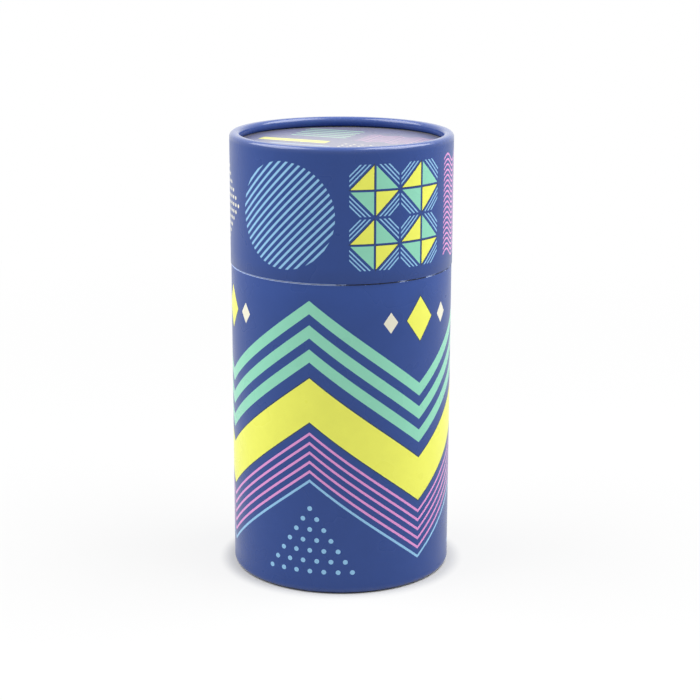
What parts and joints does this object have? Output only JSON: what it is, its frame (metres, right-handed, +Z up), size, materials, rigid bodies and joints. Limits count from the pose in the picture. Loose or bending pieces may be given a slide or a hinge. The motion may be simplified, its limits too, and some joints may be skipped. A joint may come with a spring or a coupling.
{
  "type": "cylindrical gift tube box",
  "caption": "Upright round board tube box with a rolled base, an inner neck tube and a lift-off lid with a rolled crown, covered in printed paper.",
  "frame": {"origin": "on the table, at the middle of the box's base", "axes": "+Z up along the tube's axis; -Y is the front of the box, +Y the back where the printed sheets overlap, +X the right seen from the front"},
  "size_m": [0.0854, 0.0856, 0.1712],
  "materials": {
    "board": "matt grey-brown wound board",
    "body_print": "printed paper, satin varnish, blue ground",
    "lid_print": "printed paper, satin varnish, blue ground",
    "disc_print": "printed paper, satin varnish",
    "base_paper": "printed paper, satin varnish, plain blue",
    "neck_paper": "matt white paper",
    "lining_paper": "matt white paper"
  },
  "bodies": {
    "box": {"body_tube": "board", "body_wrap": "body_print", "base_facing": "base_paper", "base_disc": "board", "base_lining": "lining_paper", "neck_tube": "board", "neck_wrap": "neck_paper", "neck_lining": "lining_paper"},
    "lid": {"lid_tube": "board", "lid_wrap": "lid_print", "lid_facing": "disc_print", "lid_disc": "board", "lid_disc_lining": "lining_paper", "lid_lining": "lining_paper"}
  },
  "joints": [
    {"name": "lid_lift", "type": "slide", "parent": "box", "child": "lid", "axis": [0, 0, 1], "range_m": [0, 0.08]}
  ]
}
